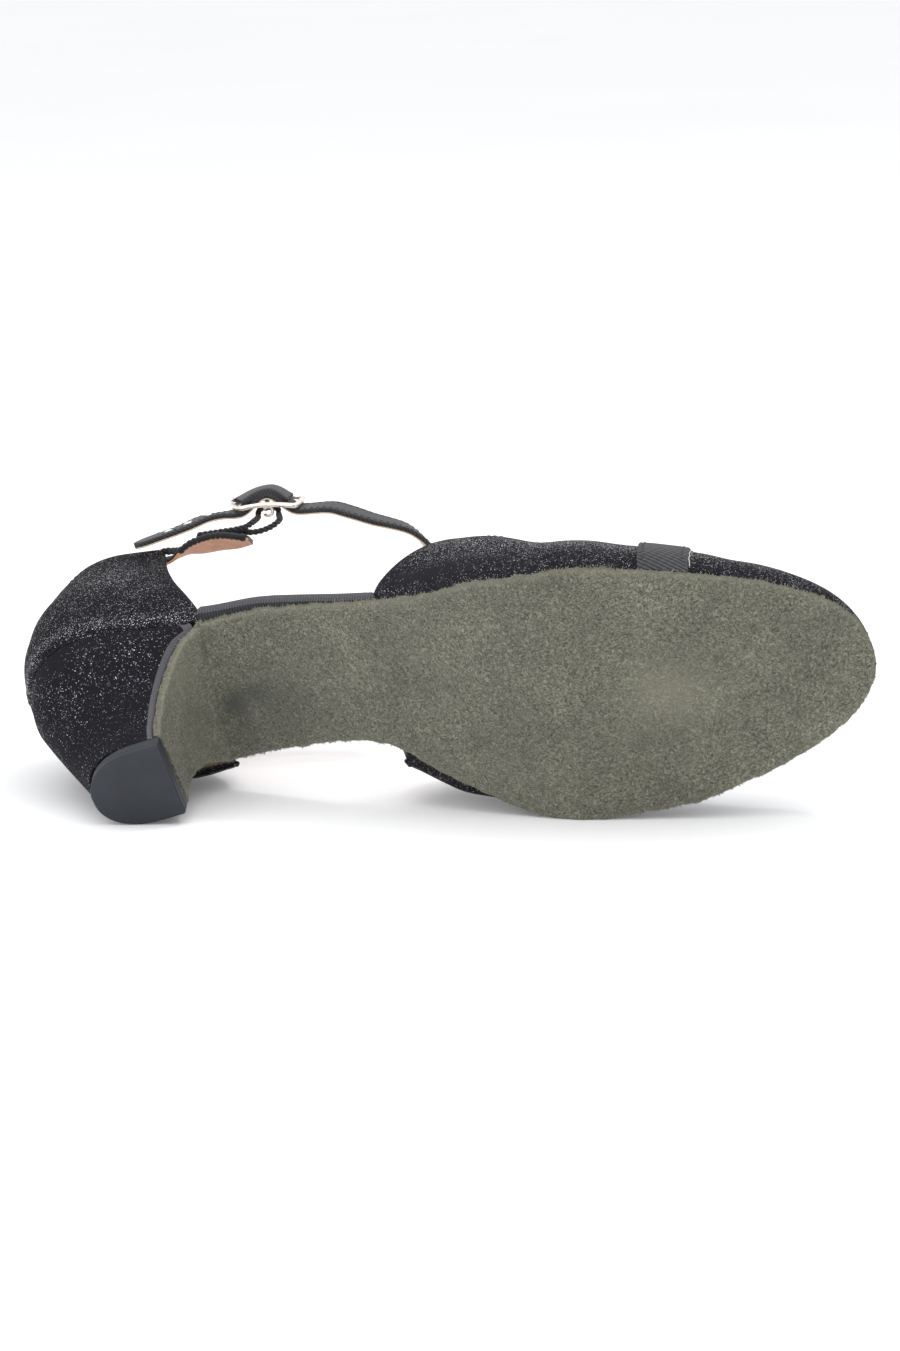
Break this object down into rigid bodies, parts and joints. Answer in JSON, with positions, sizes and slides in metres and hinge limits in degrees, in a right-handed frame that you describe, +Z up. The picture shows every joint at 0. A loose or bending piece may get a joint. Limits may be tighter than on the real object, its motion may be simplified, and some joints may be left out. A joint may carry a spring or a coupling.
{
  "type": "ballroom dance shoe",
  "caption": "Right ballroom dance shoe with suede sole, covered heel, closed toe, open waist and buckled ankle strap, lying on its inner side.",
  "frame": {"origin": "centre of the bounding box's bottom: the shoe lies on its inner side on the ground", "axes": "+X from heel to toe, +Z up, the side of the foot's outer edge, -Y where the sole faces"},
  "size_m": [0.2422, 0.1218, 0.0776],
  "materials": {
    "suede_sole": "grey-green napped suede",
    "woven_edge": "black ribbed woven edge",
    "glitter_upper": "black fabric with fine glitter",
    "woven_band": "black twill band",
    "top_piece_rubber": "dark blue-grey rubber",
    "strap_textile": "black fine textile with pale lining",
    "buckle_metal": "pale plated metal",
    "lining_leather": "peach leather lining",
    "twisted_cord": "black twisted cord"
  },
  "bodies": {
    "root": {"outsole": "suede_sole", "insole": "woven_edge", "vamp": "glitter_upper", "toe_band": "woven_band", "counter": "glitter_upper", "heel_block": "glitter_upper", "top_piece": "top_piece_rubber", "ankle_strap": "strap_textile", "buckle_frame": "buckle_metal", "buckle_hook": "buckle_metal", "tab": "lining_leather", "cord_loop": "twisted_cord"}
  },
  "joints": []
}
